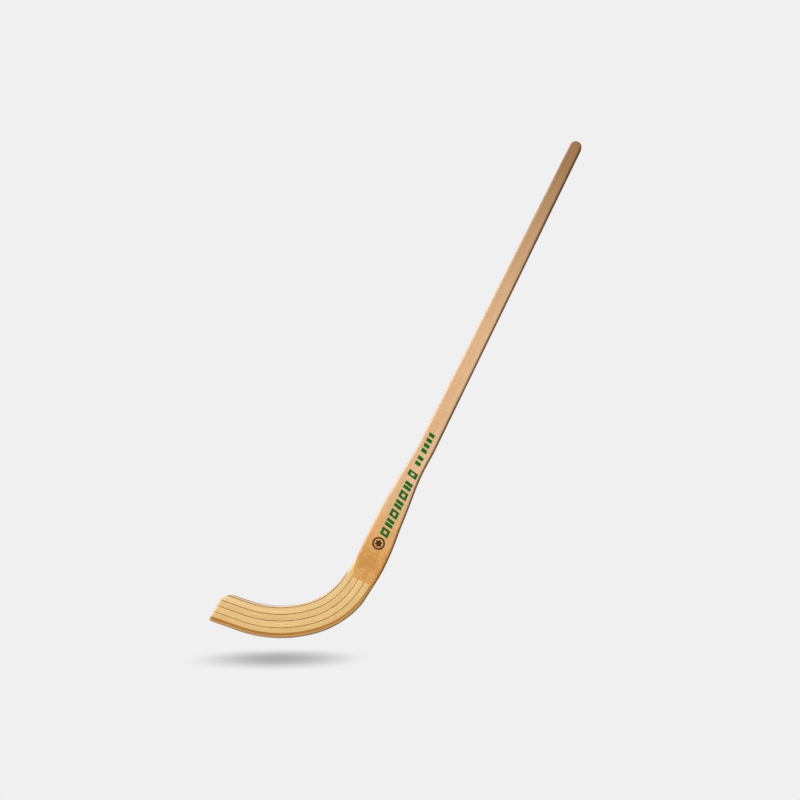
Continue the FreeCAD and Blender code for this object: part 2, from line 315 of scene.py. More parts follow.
def toe_roundings():
    """Centre (along, inside), radius and side of the two rounded corners of the toe end."""
    rounded = []
    for radius, side in ((TOE_TIP_RADIUS, -1), (TOE_CORNER_RADIUS, 1)):
        inside = radius if side < 0 else BLADE_WIDTH - radius
        along = (radius + inside * math.cos(TOE_TILT)) / math.sin(TOE_TILT)
        rounded.append((along, inside, radius, side))
    return rounded


def toe_end(inside):
    """Where the slanted toe end lies along the line that runs `inside` the sole."""
    end = inside / math.tan(TOE_TILT)
    for centre_along, centre_inside, radius, side in toe_roundings():
        tangent_inside = centre_inside + radius * math.cos(TOE_TILT)
        reach = np.sqrt(np.maximum(0, radius ** 2 - (inside - centre_inside) ** 2))
        end = np.where(side * (inside - tangent_inside) > 0, centre_along - reach, end)
    return end


def toe_distance(along, inside):
    """Distance from the slanted toe end and its rounded corners."""
    distance = along * math.sin(TOE_TILT) - inside * math.cos(TOE_TILT)
    for centre_along, centre_inside, radius, side in toe_roundings():
        ahead = (along - centre_along) * math.cos(TOE_TILT) + (inside - centre_inside) * math.sin(TOE_TILT)
        in_corner = (along < centre_along) & (side * ahead > 0)
        from_corner = radius - np.hypot(along - centre_along, inside - centre_inside)
        distance = np.where(in_corner, from_corner, distance)
    return distance


def outline_offsets(along):
    """Distances inside the sole line at which the stick's outer and inner edges lie."""
    low = np.zeros_like(along)
    high = np.full_like(along, BLADE_WIDTH)
    for _ in range(OUTLINE_ROUNDS):
        up, across = shaft_coordinates(*blade_point(along, low))
        low = low + np.where(up > OUTER_UP, across - outer_edge(up), 0)
        up, across = shaft_coordinates(*blade_point(along, high))
        high = high + np.where(up > INNER_UP, across - inner_edge(up), 0)
    return low, high


def rounding_drop(distance, along):
    """How far a face falls away near a rounded edge; the hand-sanded radius wanders a little."""
    places = [Vector((value * WANDER_PITCH, *WANDER_PLACE)) for value in np.ravel(along)]
    wander = np.array([noise.noise(at) for at in places])
    radius = EDGE_ROUNDING * (1 + ROUNDING_WANDER * wander.reshape(np.shape(along)))
    left = radius - np.clip(distance, 0, radius)
    return radius - np.sqrt(radius ** 2 - left ** 2)


# ---- meshes

def slab(x, z, front, back, grain_along, grain_across, rim=None):
    """Closed sheet between two depths over a grid in the XZ plane.

    Gives its points, faces, grain coordinates and rim values, which run from 0 to 1 at an edge.
    """
    rows, columns = x.shape
    count = rows * columns
    points = np.zeros((2, rows, columns, 3))
    grain = np.zeros((2, rows, columns, 3))
    for layer, depth in enumerate((front, back)):
        points[layer, ..., 0] = x
        points[layer, ..., 1] = depth
        points[layer, ..., 2] = z
        grain[layer, ..., 0] = grain_along
        grain[layer, ..., 1] = grain_across
        grain[layer, ..., 2] = depth
    index = np.arange(count).reshape(rows, columns)
    a = index[:-1, :-1].ravel()
    b = index[:-1, 1:].ravel()
    c = index[1:, 1:].ravel()
    d = index[1:, :-1].ravel()
    faces = [np.stack([a, b, c, d], 1), np.stack([d, c, b, a], 1) + count]
    border = np.concatenate([index[0, :], index[1:, -1], index[-1, -2::-1], index[-2::-1, 0]])
    first = border[:-1]
    second = border[1:]
    faces.append(np.stack([second, first, first + count, second + count], 1))
    rims = np.zeros((2, rows, columns)) if rim is None else np.stack([rim, rim])
    return points.reshape(-1, 3), np.concatenate(faces), grain.reshape(-1, 3), rims.ravel()


def mesh_object(name, slabs, material):
    """One object from closed sheets, smooth where its faces turn gently."""
    start = 0
    points, faces, grain, rim = [], [], [], []
    for sheet in slabs:
        points.append(sheet[0])
        faces.append(sheet[1] + start)
        grain.append(sheet[2])
        rim.append(sheet[3])
        start += len(sheet[0])
    mesh = bpy.data.meshes.new(name)
    mesh.from_pydata(np.concatenate(points).tolist(), [], np.concatenate(faces).tolist())
    grain_layer = mesh.attributes.new("grain", "FLOAT_VECTOR", "POINT")
    grain_layer.data.foreach_set("vector", np.concatenate(grain).ravel())
    rim_layer = mesh.attributes.new("rim", "FLOAT", "POINT")
    rim_layer.data.foreach_set("value", np.concatenate(rim))
    mesh.validate()
    mesh.shade_smooth()
    mesh.set_sharp_from_angle(angle=SHARP_ANGLE)
    mesh.materials.append(material)
    piece = bpy.data.objects.new(name, mesh)
    bpy.context.scene.collection.objects.link(piece)
    return piece


def place(piece, node):
    """Hang a piece on the one body, in place of a CAD node."""
    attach(piece, "root")
    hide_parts(node)


def row_end(inside_at, along, end_of):
    """Where each line of a layer reaches `end_of`, a height up the shaft for each place across."""
    for _ in range(ROW_ROUNDS):
        up, across = shaft_coordinates(*blade_point(along, inside_at(along)))
        along = along + ROW_STEP * (end_of(across) - up)
    return along


def blade_rows(inside_at, count, last):
    """Grid of a layer, as along and inside, from the toe to the cheeks or to `last`."""
    toe = np.zeros(count)
    for _ in range(TOE_ROUNDS):
        toe = toe_end(inside_at(toe))
    if last is None:
        end = row_end(inside_at, np.full(count, HEEL_END - BEFORE_CHEEKS), cheek_low_end)
    else:
        end = np.full(count, last)
    steps = np.linspace(0, 1, BLADE_ROWS)[:, None]
    after_edge = toe + EDGE_ROWS[-1] + (end - toe - EDGE_ROWS[-1]) * steps
    along = np.concatenate([toe + EDGE_ROWS[:-1, None], after_edge])
    return along, np.stack([inside_at(row) for row in along])


def tenon_rows(inside_at, low_of, high_of, shares, start):
    """Grid of a layer's tenon, as along and inside, from the cheeks to the core stave."""
    tip = row_end(inside_at, start + TENON_GUESS, splice_end)
    along = start + (tip - start) * np.linspace(0, 1, TENON_ROWS)[:, None]
    inside = []
    for row in along:
        low = low_of(row)
        inside.append(low + (high_of(row) - low) * shares)
    return along, np.stack(inside)


def make_blade_piece(name, material, low_of, high_of, shares, last=None, tenon_low_of=None):
    """One bent layer of the blade, from the toe to the cheeks or to `last`.

    With `tenon_low_of`, it runs on between the cheeks as a tenon with that outer side.
    """
    def inside_at(along):
        low = low_of(along)
        return low + (high_of(along) - low) * shares

    along, inside = blade_rows(inside_at, len(shares), last)
    low, high = outline_offsets(along)
    x, z = blade_point(along, inside)
    edge = np.minimum(np.minimum(inside - low, high - inside), toe_distance(along, inside))
    drop = rounding_drop(edge, along)
    front = face_y(x, -1) + drop
    back = face_y(x, 1) - drop
    if tenon_low_of is not None:
        tenon_along, tenon_inside = tenon_rows(inside_at, tenon_low_of, high_of, shares, along[-1])
        tenon_x, tenon_z = blade_point(tenon_along, tenon_inside)
        half = np.full(tenon_x.shape, TENON_HALF)
        along = np.concatenate([along, tenon_along])
        inside = np.concatenate([inside, tenon_inside])
        x = np.concatenate([x, tenon_x])
        z = np.concatenate([z, tenon_z])
        front = np.concatenate([front, -half])
        back = np.concatenate([back, half])
    end_grain = np.clip(1 - toe_distance(along, inside) / END_GRAIN_REACH, 0, 1)
    piece = mesh_object(name, [slab(x, z, front, back, along, inside, end_grain)], material)
    place(piece, name)


def sole_depth(depths, along):
    """Distance inside the sole of the top of the wear strip or of the inlay."""
    last = shaft_point(CHEEK_END, CHEEK_END_ACROSS - depths[-1])
    last_along, last_inside = heel_coordinates(*last)
    half_middle = TOE_STRAIGHT + MIDDLE_LENGTH / 2
    half_heel = heel_along((HEEL_BEND_SLOPE + OUTER_LEAVE_SLOPE) / 2)
    stations = [-DEPTH_LEAD, TOE_STRAIGHT, half_middle, HEEL_START, half_heel, last_along]
    return smooth_through(stations, depths[:-1] + [last_inside], along, 0.0, 0.0)


def edge_reaches(inside):
    """How far along the sole the inner edge has closed in to a distance inside the sole."""
    start = heel_along(INNER_LEAVE_SLOPE)
    along = np.linspace(start, HEEL_END + LOOKUP_PAST_HEEL, LOOKUP_PLACES)
    return float(np.interp(-inside, -outline_offsets(along)[1], along))


def column_shares(rim):
    """Where each column of the shaft's grid lies, as a share of the width and an inset."""
    corner = CHEEK_CORNER_ACROSS - inner_edge(CHEEK_END) - rim
    corner_share = corner / (outer_edge(CHEEK_END) - inner_edge(CHEEK_END) - 2 * rim)
    shares = np.sort(np.append(np.linspace(0, 1, SHAFT_COLUMNS)[1:-1], corner_share))
    shares = np.concatenate([np.zeros(len(EDGE_ROWS)), shares, np.ones(len(EDGE_ROWS))])
    inset = np.full(len(shares), rim)
    inset[:len(EDGE_ROWS)] = EDGE_ROWS
    inset[-len(EDGE_ROWS):] = 2 * rim - EDGE_ROWS[::-1]
    return shares, inset


def shaft_grid(low_end):
    """Up and across of a grid over the shaft, from its low end to its butt, and edge distances."""
    rim = EDGE_ROWS[-1]
    shares, inset = column_shares(rim)

    def acrosses(up):
        inner, outer = inner_edge(up), outer_edge(up)
        return inner + inset + (outer - inner - 2 * rim) * shares

    low = np.full(len(shares), CHEEK_END)
    for _ in range(LOW_END_ROUNDS):
        low = low_end(acrosses(low))
    rows = [low + (FLARE_ROWS_END - low) * share for share in np.linspace(0, 1, FLARE_ROWS)]
    straight = np.linspace(FLARE_ROWS_END, SHAFT_ROWS_END, SHAFT_ROWS)[1:]
    rows += [np.full(len(shares), up) for up in straight]
    butt_across = acrosses(np.full(len(shares), SHAFT_END))
    butt_radius = (HALF_WIDTH_TOP ** 2 + BUTT_BULGE ** 2) / (2 * BUTT_BULGE)
    butt_centre = SHAFT_END + BUTT_BULGE - butt_radius
    top = butt_centre + np.sqrt(np.maximum(0, butt_radius ** 2 - butt_across ** 2))
    butt_length = top - rim - SHAFT_ROWS_END
    rows += [SHAFT_ROWS_END + butt_length * share for share in np.linspace(0, 1, BUTT_ROWS)[1:]]
    rows += [top - distance for distance in EDGE_ROWS[-2::-1]]
    up = np.stack(rows)
    across = np.stack([acrosses(row) for row in rows])
    from_edges = np.minimum(across - inner_edge(up), outer_edge(up) - across)
    from_butt = butt_radius - np.hypot(up - butt_centre, across)
    distance = np.where(up > butt_centre, from_butt, from_edges)
    return up, across, distance


def make_cheek(name, side, material):
    """One outer half of the shaft: the front (side -1) or the back (side 1)."""
    up, across, distance = shaft_grid(cheek_low_end)
    x, z = shaft_point(up, across)
    drop = rounding_drop(distance, up)
    face = face_y(x, side) - side * drop
    tenon = np.full(x.shape, side * TENON_HALF)
    front, back = (face, tenon) if side < 0 else (tenon, face)
    # Painted shade near the shaft's outer edge, which faces away from the light
    outer_edge_shade = np.clip(1 - (outer_edge(up) - across) / OUTER_EDGE_SHADE_REACH, 0, 1)
    piece = mesh_object(name, [slab(x, z, front, back, up, across, outer_edge_shade)], material)
    place(piece, name)


def make_core(material):
    """The stave between the cheeks, from the tip of the splice to the butt."""
    up, across, _ = shaft_grid(splice_end)
    x, z = shaft_point(up, across)
    front = np.full(x.shape, -TENON_HALF)
    piece = mesh_object("shaft_core_stave", [slab(x, z, front, -front, up, across)], material)
    place(piece, "shaft_core_stave")


def make_shaft(cheek_material, core_material):
    make_cheek("shaft_cheek_front", -1, cheek_material)
    make_cheek("shaft_cheek_back", 1, cheek_material)
    make_core(core_material)


BAND_LOW = FIRST_LAYER + (LAMELLA_COUNT - 1) * LAMELLA_PITCH - LAYER_THICKNESS / 2
BAND_HIGH = BAND_LOW + LAYER_THICKNESS
BAND_END = edge_reaches(BAND_LOW + THINNEST_END)
FACING_END = edge_reaches(BAND_HIGH + THINNEST_END)


def level(value):
    """A boundary that stays at one distance inside the sole."""
    return lambda along: np.full_like(along, value)


def outer_side(along):
    return outline_offsets(along)[0]


def inner_side(along):
    return outline_offsets(along)[1]


def strip_top(along):
    return sole_depth(STRIP_DEPTH, along)


def inlay_top(along):
    return sole_depth(INLAY_DEPTH, along)


def band_top(along):
    return np.minimum(BAND_HIGH, inner_side(along))


def inner_lamella_top(along):
    return np.where(along > BAND_END, inner_side(along), BAND_LOW)


def make_sole(strip, inlay):
    make_blade_piece("sole_wear_strip", strip, outer_side, strip_top, SOLE_SHARES)
    make_blade_piece("dark_inlay", inlay, strip_top, inlay_top, EVEN_SHARES)


def make_inner_edge(fibre, facing):
    make_blade_piece(
        "inner_edge_band", fibre, level(BAND_LOW), band_top, EVEN_SHARES, BAND_END)
    make_blade_piece(
        "inner_edge_facing", facing, level(BAND_HIGH), inner_side, FACING_SHARES,
        FACING_END)


def make_lamellas(materials, fibre):
    """The laminations from the inlay inwards, with a fibre layer after each but the innermost.

    The inlay stops at the cheeks, so the outermost tenon reaches the shaft's outer edge.
    """
    low = inlay_top
    tenon_low = outer_side
    for index, material in enumerate(materials[:-1]):
        number = LAMELLA_COUNT - index
        layer = FIRST_LAYER + index * LAMELLA_PITCH - LAYER_THICKNESS / 2
        make_blade_piece(
            "blade_lamella_" + str(number), material, low, level(layer), EVEN_SHARES,
            tenon_low_of=tenon_low)
        low = level(layer + LAYER_THICKNESS)
        tenon_low = low
        make_blade_piece(
            "fibre_layer_" + str(number - 1), fibre, level(layer), low, THIN_SHARES,
            tenon_low_of=level(layer))
    make_blade_piece(
        "blade_lamella_1", materials[-1], low, inner_lamella_top, INNER_SHARES,
        tenon_low_of=low)


def ink_sheet(up, across, rim):
    """Film of ink over a grid on the front face, half sunk into the wood."""
    x, z = shaft_point(up, across)
    face = face_y(x, -1)
    return slab(x, z, face - INK_HEIGHT, face + INK_HEIGHT, up, across, rim)


def ink_patch(corners, outline=(0, 1, 2, 3), steps=PATCH_STEPS):
    """Film over a four-cornered shape given as (up, across); `outline` names its sides that show."""
    shares = np.linspace(0, 1, steps)
    u, v = np.meshgrid(shares, shares, indexing="ij")
    weights = [(1 - u) * (1 - v), u * (1 - v), u * v, (1 - u) * v]
    up = sum(weight * corner[0] for weight, corner in zip(weights, corners))
    across = sum(weight * corner[1] for weight, corner in zip(weights, corners))
    nearest = np.full(up.shape, 1.0)
    for side in outline:
        start = corners[side]
        end = corners[(side + 1) % 4]
        length = math.hypot(end[0] - start[0], end[1] - start[1])
        area = (up - start[0]) * (end[1] - start[1]) - (across - start[1]) * (end[0] - start[0])
        nearest = np.minimum(nearest, np.abs(area) / length)
    return ink_sheet(up, across, np.clip(1 - nearest / RIM_WIDTH, 0, 1))


def mark_lean(height):
    """How far a leaning mark shifts between its two sides."""
    return height * math.tan(MARK_SLANT)


def block_corners(up, across, length, height):
    """Corners of a mark that leans; its length counts the lean."""
    half_length = length / 2
    half_height = height / 2
    lean = mark_lean(height)
    return [
        (up - half_length + lean, across - half_height), (up + half_length, across - half_height),
        (up + half_length - lean, across + half_height), (up - half_length, across + half_height),
    ]


def open_block(up, across, length, height):
    """Block with a hole, as four strips that meet at its corners."""
    outside = block_corners(up, across, length, height)
    hole = block_corners(up, across, length * HOLE_SHARE, height * HOLE_SHARE)
    patches = []
    for corner in range(4):
        following = (corner + 1) % 4
        strip = [outside[corner], outside[following], hole[following], hole[corner]]
        patches.append(ink_patch(strip, outline=(0, 2)))
    return patches


def block_pair(up, across, length, height):
    """Two leaning bars that fill one block's length."""
    width = (length + mark_lean(height) - PAIR_GAP) / 2
    apart = (length - width) / 2
    return [ink_patch(block_corners(up + side * apart, across, width, height)) for side in (-1, 1)]


def ring_sheets():
    """The roundel's ring, as four quarter arcs that meet."""
    sheets = []
    across_line = np.linspace(0, 1, RING_STEPS)[None, :]
    radius = ROUNDEL_RADIUS - ROUNDEL_LINE * across_line
    rim = np.abs(2 * across_line - 1) ** RING_RIM_POWER
    for quarter in range(4):
        turn = (quarter + np.linspace(0, 1, QUARTER_STEPS)[:, None]) * math.pi / 2
        up = ROUNDEL_UP + radius * np.cos(turn)
        across = ROUNDEL_ACROSS - radius * np.sin(turn)
        sheets.append(ink_sheet(up, across, np.broadcast_to(rim, up.shape)))
    return sheets


def star_sheets():
    """A star of kites that meet at the roundel's centre."""
    sheets = []
    step = math.pi / STAR_TIPS
    for tip in range(STAR_TIPS):
        corners = [(ROUNDEL_UP, ROUNDEL_ACROSS)]
        for side, radius in ((-1, STAR_INNER), (0, STAR_OUTER), (1, STAR_INNER)):
            turn = (2 * tip + side) * step
            corners.append((ROUNDEL_UP + radius * math.cos(turn), ROUNDEL_ACROSS - radius * math.sin(turn)))
        sheets.append(ink_patch(corners, outline=(1, 2), steps=STAR_STEPS))
    return sheets


def large_marks():
    """A word of blocks, open ones and pairs of bars in turn, and one taller open block."""
    patches = []
    for index in range(LARGE_COUNT):
        up = LARGE_START + LARGE_LENGTH / 2 + index * LARGE_PITCH
        make = open_block if index % 2 == 0 else block_pair
        patches += make(up, LARGE_ACROSS, LARGE_LENGTH, LARGE_HEIGHT)
    end_up = END_MARK_START + END_MARK_LENGTH / 2
    patches += open_block(end_up, END_MARK_ACROSS, END_MARK_LENGTH, END_MARK_HEIGHT)
    return patches


def small_marks():
    """Two words of plain leaning blocks."""
    patches = []
    for index in range(SMALL_COUNT):
        up = SMALL_START + SMALL_LENGTH / 2 + index * SMALL_PITCH
        if index >= FIRST_WORD_COUNT:
            up += WORD_GAP
        patches.append(ink_patch(block_corners(up, SMALL_ACROSS, SMALL_LENGTH, SMALL_HEIGHT)))
    return patches


def make_prints(green, brown):
    place(mesh_object("print_large_marks", large_marks(), green), "print_large_marks")
    place(mesh_object("print_small_marks", small_marks(), green), "print_small_marks")
    roundel = mesh_object("print_roundel", ring_sheets() + star_sheets(), brown)
    place(roundel, "print_roundel")


# ---- materials

class Nodes:
    """A material's node tree, with short calls for the nodes that the finishes share."""

    def __init__(self, name):
        self.material = bpy.data.materials.new(name)
        self.material.use_nodes = True
        self.tree = self.material.node_tree
        self.shader = self.tree.nodes["Principled BSDF"]

    def node(self, kind):
        return self.tree.nodes.new(kind)

    def link(self, source, target):
        self.tree.links.new(source, target)

    def attribute(self, name, output):
        found = self.node("ShaderNodeAttribute")
        found.attribute_name = name
        return found.outputs[output]

    def parts(self, vector):
        """The X and Y of a vector."""
        split = self.node("ShaderNodeSeparateXYZ")
        self.link(vector, split.inputs["Vector"])
        return split.outputs["X"], split.outputs["Y"]

    def distance_from(self, vector, centre, half):
        """Distance from a centre, in units of the half size along each axis."""
        mapping = self.node("ShaderNodeMapping")
        mapping.vector_type = "TEXTURE"
        mapping.inputs["Location"].default_value = centre
        mapping.inputs["Scale"].default_value = half
        self.link(vector, mapping.inputs["Vector"])
        length = self.node("ShaderNodeVectorMath")
        length.operation = "LENGTH"
        self.link(mapping.outputs["Vector"], length.inputs[0])
        return length.outputs["Value"]

    def noise(self, vector, density, detail, roughness, distortion=0.0):
        """Noise from 0 to 1 with its own density per metre along each axis."""
        mapping = self.node("ShaderNodeMapping")
        mapping.inputs["Scale"].default_value = density
        self.link(vector, mapping.inputs["Vector"])
        texture = self.node("ShaderNodeTexNoise")
        texture.inputs["Scale"].default_value = 1.0
        texture.inputs["Detail"].default_value = detail
        texture.inputs["Roughness"].default_value = roughness
        texture.inputs["Distortion"].default_value = distortion
        self.link(mapping.outputs["Vector"], texture.inputs["Vector"])
        return texture.outputs["Fac"]

    def spread(self, value, low, high, to_low=0.0, to_high=1.0):
        """A value's smooth passage from `to_low` to `to_high` as it goes from `low` to `high`."""
        ranged = self.node("ShaderNodeMapRange")
        ranged.interpolation_type = "SMOOTHSTEP"
        for name, number in (("From Min", low), ("From Max", high), ("To Min", to_low), ("To Max", to_high)):
            ranged.inputs[name].default_value = number
        self.link(value, ranged.inputs["Value"])
        return ranged.outputs["Result"]

    def math(self, operation, first, second=0.0):
        made = self.node("ShaderNodeMath")
        made.operation = operation
        for socket, value in zip(made.inputs, (first, second)):
            if isinstance(value, (int, float)):
                socket.default_value = value
            else:
                self.link(value, socket)
        return made.outputs["Value"]

    def scaled(self, value, factor):
        return self.math("MULTIPLY", value, factor)

    def mix(self, factor, first, second, blend="MIX"):
        """Colour that is `first` at factor 0 and `second`, or their product, at factor 1."""
        mixed = self.node("ShaderNodeMix")
        mixed.data_type = "RGBA"
        mixed.blend_type = blend
        for index, value in ((0, factor), (6, first), (7, second)):
            socket = mixed.inputs[index]
            if isinstance(value, (int, float)):
                socket.default_value = value
            elif isinstance(value, tuple):
                socket.default_value = (*value, 1.0)
            else:
                self.link(value, socket)
        return mixed.outputs[2]

    def bump(self, height, distance, strength):
        bumped = self.node("ShaderNodeBump")
        bumped.inputs["Distance"].default_value = distance
        bumped.inputs["Strength"].default_value = strength
        self.link(height, bumped.inputs["Height"])
        self.link(bumped.outputs["Normal"], self.shader.inputs["Normal"])

    def lacquer(self, weight, roughness, specular=0.4):
        self.shader.inputs["Specular IOR Level"].default_value = specular
        self.shader.inputs["Coat Weight"].default_value = weight
        self.shader.inputs["Coat Roughness"].default_value = roughness


def shade(red, green, blue):
    """Linear colour of an sRGB colour given as 0 to 255."""
    result = []
    for value in (red, green, blue):
        value = value / 255
        result.append(value / 12.92 if value <= 0.04045 else ((value + 0.055) / 1.055) ** 2.4)
    return tuple(result)


# Colours: each wood has a pale tone, a deep tone and flecks, and each ink a full tone, a thin one
# and that of its rim
CHEEK_TONES = (shade(231, 190, 146), shade(212, 166, 120), shade(150, 96, 56))
# The core's dark brown is partly its own wood and partly painted shade, deepening the shaft's sides
CORE_TONES = (shade(150, 112, 76), shade(112, 78, 50), shade(78, 50, 30))
INLAY_TONES = (shade(182, 127, 50), shade(152, 100, 34), shade(104, 64, 30))
STRIP_TONES = (shade(198, 152, 90), shade(174, 126, 70), shade(120, 78, 44))
FACING_TONES = (shade(246, 222, 184), shade(234, 202, 158), shade(200, 164, 116))
LAMELLA_PALE = [(236, 198, 134), (238, 202, 140), (235, 196, 136), (240, 206, 146)]
LAMELLA_DROP = (20, 24, 28)
LAMELLA_FLECK = shade(196, 146, 84)
AMBER_TONES = (shade(206, 146, 68), shade(220, 164, 88))
KNOT_TONE = shade(186, 120, 42)
# Painted shade on the inner edge towards the heel
HEEL_FACING_SHADE = shade(208, 176, 130)
END_GRAIN = shade(96, 66, 30)
# Painted shade on the sole's rounded lowest part
SOLE_SHADE = shade(120, 84, 46)
# Painted shade along the shaft's outer edge
OUTER_EDGE_SHADE_TINT = (0.66, 0.56, 0.46)
# Painted shade towards the butt
BUTT_SHADE_TINT = (0.43, 0.36, 0.26)
SHEET_TONES = (shade(126, 80, 12), shade(158, 106, 26))
GREEN_TONES = (shade(20, 88, 18), shade(52, 116, 40), shade(166, 204, 134))
BROWN_TONES = (shade(58, 28, 8), shade(112, 72, 34), shade(140, 100, 58))

# Grain textures: density per metre along the grain, across it and through the thickness
STREAKS = (3.0, 260.0, 260.0)
BANDS = (1.6, 60.0, 60.0)
PATCHES = (14.0, 28.0, 28.0)
FIBRES = (170.0, 900.0, 900.0)
FLECKS = (420.0, 2600.0, 2600.0)
WEAVE = (1500.0, 260.0, 260.0)
KNOT_MOTTLE = (60.0, 110.0, 30.0)
SHEET_MOTTLE = (70.0, 900.0, 900.0)
INK_MOTTLE = (500.0, 700.0, 700.0)
SEED_STEP = (1.37, 0.61, 0.29)

# Shares of each texture in the tone of a wood, and in the height of its surface
STREAK_SHARE = 0.45
BAND_SHARE = 0.35
PATCH_SHARE = 0.20
FIBRE_SHARE = 0.6
FLECK_SHARE = 0.35
WEAVE_HEIGHT = 0.3

# Where the woods change tone or take painted shade: up for the cheeks, along or inside for the blade's
# pieces
KNOT_CENTRE = (0.197, -0.003, 0.0)
KNOT_HALF = (0.017, 0.02, 1.0)
KNOT_WANDER = 0.9
KNOT_RINGS = 15.0
AMBER_FADE = (0.195, 0.36)
AMBER_WANDER = 0.05
BUTT_SHADE_FADE = (0.60, 1.10)
SOLE_SHADE_HEIGHT = (0.0006, 0.0030)
SOLE_SHADE_START = (0.08, 0.18)
SOLE_SHADE_FADE = (0.22, 0.27)
HEEL_FACING_SHADE_START = (0.14, 0.30)


def wood(name, tones, seed, cross_grain=0.0, gloss=0.22):
    """Lacquered wood whose grain follows the piece: long streaks, short flecks and soft patches.

    The seed moves the textures, so that no two woods have the same grain.
    """
    pale, deep, fleck = tones
    nodes = Nodes(name)
    grain = nodes.attribute("grain", "Vector")
    shift = nodes.node("ShaderNodeVectorMath")
    shift.operation = "ADD"
    shift.inputs[1].default_value = tuple(seed * step for step in SEED_STEP)
    nodes.link(grain, shift.inputs[0])
    position = shift.outputs["Vector"]
    streaks = nodes.noise(position, STREAKS, detail=4.0, roughness=0.6, distortion=0.3)
    bands = nodes.noise(position, BANDS, detail=2.0, roughness=0.5, distortion=0.6)
    patches = nodes.noise(position, PATCHES, detail=3.0, roughness=0.55, distortion=0.4)
    fibres = nodes.noise(position, FIBRES, detail=3.0, roughness=0.6)
    flecks = nodes.noise(position, FLECKS, detail=1.0, roughness=0.4)
    weave = nodes.noise(position, WEAVE, detail=2.0, roughness=0.5)
    tone = nodes.math("ADD", nodes.scaled(streaks, STREAK_SHARE), nodes.scaled(bands, BAND_SHARE))
    tone = nodes.math("ADD", tone, nodes.scaled(patches, PATCH_SHARE))
    centred_fibres = nodes.math("SUBTRACT", fibres, 0.5)
    tone = nodes.math("ADD", tone, nodes.scaled(centred_fibres, FIBRE_SHARE))
    colour = nodes.mix(nodes.spread(tone, 0.25, 0.65), deep, pale)
    colour = nodes.mix(nodes.scaled(nodes.spread(flecks, 0.62, 0.74), FLECK_SHARE), colour, fleck)
    if cross_grain:
        colour = nodes.mix(nodes.scaled(nodes.spread(weave, 0.35, 0.7), cross_grain), colour, deep)
    height = nodes.math("ADD", streaks, nodes.scaled(weave, WEAVE_HEIGHT + cross_grain))
    nodes.bump(height, distance=0.00012, strength=0.35)
    nodes.link(nodes.spread(patches, 0.3, 0.7, 0.36, 0.5), nodes.shader.inputs["Roughness"])
    nodes.lacquer(gloss, roughness=0.24)
    return nodes, grain, colour


def cheek_wood():
    """Pale shaft wood, amber round a knot at the heel, with painted shade darkening it towards the butt and
    along the outer edge.
    """
    nodes, grain, colour = wood("shaft_wood", CHEEK_TONES, seed=1.0)
    up, _ = nodes.parts(grain)
    mottle = nodes.noise(grain, KNOT_MOTTLE, detail=4.0, roughness=0.62, distortion=0.8)
    wander = nodes.scaled(nodes.math("SUBTRACT", mottle, 0.5), KNOT_WANDER)
    from_knot = nodes.math("ADD", nodes.distance_from(grain, KNOT_CENTRE, KNOT_HALF), wander)
    rings = nodes.spread(nodes.math("SINE", nodes.scaled(from_knot, KNOT_RINGS)), 0.3, 1.0)
    ring_share = nodes.scaled(rings, nodes.spread(from_knot, 1.2, 2.8, 0.5, 0.0))
    knot_share = nodes.math("MAXIMUM", nodes.spread(from_knot, 0.5, 1.35, 0.5, 0.0), ring_share)
    amber = nodes.mix(nodes.spread(mottle, 0.35, 0.65), *AMBER_TONES)
    amber = nodes.mix(knot_share, amber, KNOT_TONE)
    wandering_up = nodes.math("ADD", up, nodes.scaled(wander, AMBER_WANDER))
    colour = nodes.mix(nodes.spread(wandering_up, *AMBER_FADE, 0.95, 0.0), colour, amber)
    # Painted shade towards the butt, standing in for light falling off up the shaft
    shaded_butt = nodes.mix(1.0, colour, BUTT_SHADE_TINT, "MULTIPLY")
    colour = nodes.mix(nodes.spread(up, *BUTT_SHADE_FADE), colour, shaded_butt)
    # Painted shade along the outer edge, which faces away from the light
    shaded_edge = nodes.mix(1.0, colour, OUTER_EDGE_SHADE_TINT, "MULTIPLY")
    colour = nodes.mix(nodes.spread(nodes.attribute("rim", "Fac"), 0.0, 0.8), colour, shaded_edge)
    nodes.link(colour, nodes.shader.inputs["Base Color"])
    return nodes.material


def darken_end(nodes, colour, share):
    """Give a blade piece its colour, with dark end grain at the toe."""
    end_share = nodes.scaled(nodes.attribute("rim", "Fac"), share)
    nodes.link(nodes.mix(end_share, colour, END_GRAIN), nodes.shader.inputs["Base Color"])


def plain_wood(name, tones, seed, cross_grain=0.0, end_share=0.3):
    """Wood of one tone."""
    nodes, _, colour = wood(name, tones, seed, cross_grain)
    darken_end(nodes, colour, end_share)
    return nodes.material


def strip_wood():
    """Mid-brown wood of the sole, with painted shade darkening its rounded lowest part along the stretch
    that meets the ground.
    """
    nodes, grain, colour = wood("wear_wood", STRIP_TONES, seed=9.0)
    along, inside = nodes.parts(grain)
    # Painted shade on the rounded lowest part of the sole, along the stretch that meets the ground
    lowest = nodes.spread(inside, *SOLE_SHADE_HEIGHT, 0.7, 0.0)
    sole_shade_share = nodes.scaled(nodes.spread(along, *SOLE_SHADE_START), nodes.spread(along, *SOLE_SHADE_FADE, 1.0, 0.35))
    colour = nodes.mix(nodes.scaled(lowest, sole_shade_share), colour, SOLE_SHADE)
    darken_end(nodes, colour, 0.6)
    return nodes.material


def facing_wood():
    """Very pale wood of the inner edge, with painted shade making it darker and warmer towards the heel."""
    nodes, grain, colour = wood("facing_wood", FACING_TONES, seed=10.0, gloss=0.05)
    along, _ = nodes.parts(grain)
    # Painted shade towards the heel
    heel_shade_share = nodes.spread(along, *HEEL_FACING_SHADE_START, 0.0, 0.8)
    colour = nodes.mix(heel_shade_share, colour, HEEL_FACING_SHADE)
    nodes.link(colour, nodes.shader.inputs["Base Color"])
    return nodes.material


